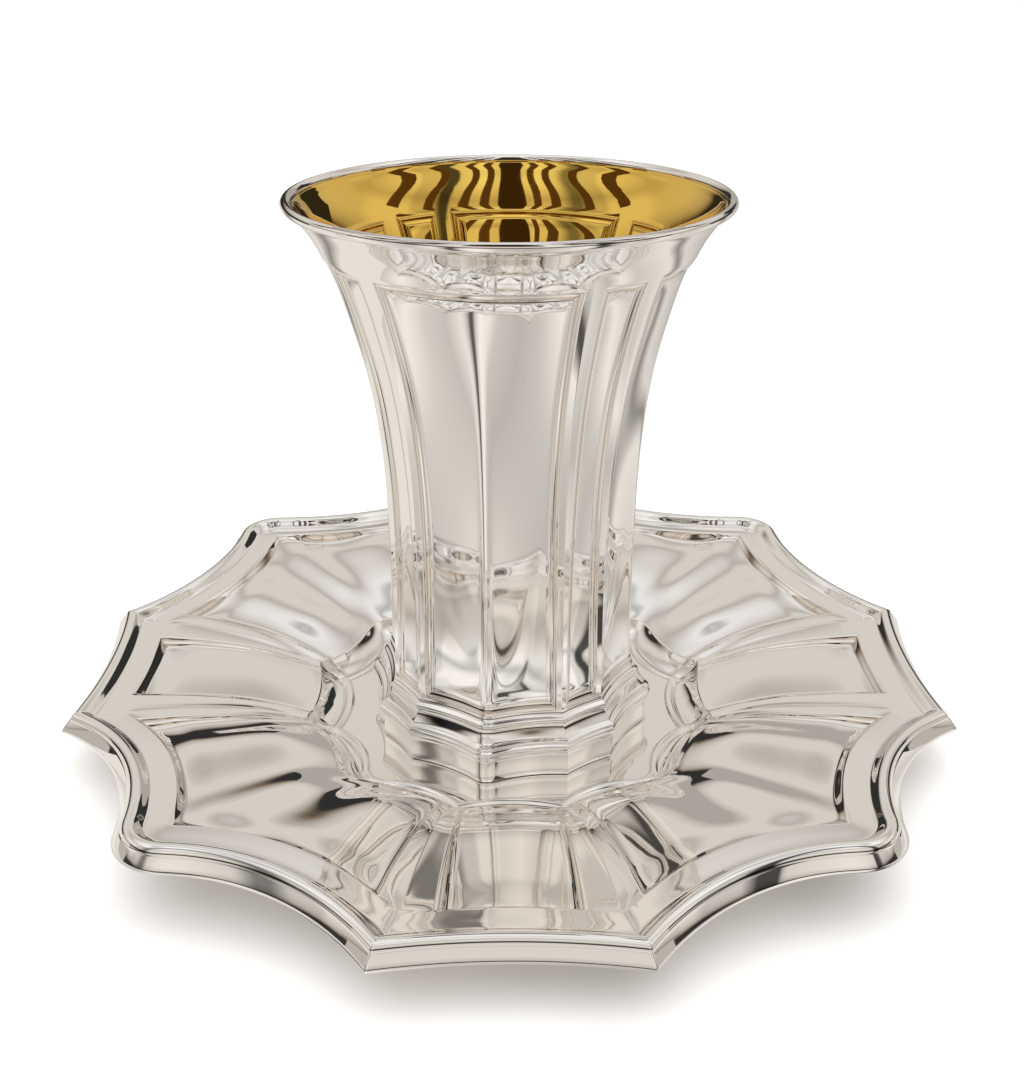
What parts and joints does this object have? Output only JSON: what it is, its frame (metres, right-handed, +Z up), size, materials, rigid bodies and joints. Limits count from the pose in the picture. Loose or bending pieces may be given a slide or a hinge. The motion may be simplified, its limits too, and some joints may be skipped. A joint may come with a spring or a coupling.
{
  "type": "kiddush cup with saucer",
  "caption": "Tall flared silver kiddush cup, gilt inside, with panelled scalloped sides, standing in the well of its scalloped silver saucer.",
  "frame": {"origin": "centre of the saucer's flat underside, where the set stands on a table", "axes": "+Z up along the axis of cup and saucer; X and Y each run through the middle of a pair of the saucer's pointed tips"},
  "size_m": [0.1544, 0.1544, 0.0958],
  "materials": {
    "cup_silver": "mirror-polished sterling silver, gilt on the inside",
    "saucer_silver": "mirror-polished sterling silver",
    "gilt": "polished gilding inside the cup"
  },
  "bodies": {
    "root": {"cup": "cup_silver", "saucer": "saucer_silver"}
  },
  "joints": []
}
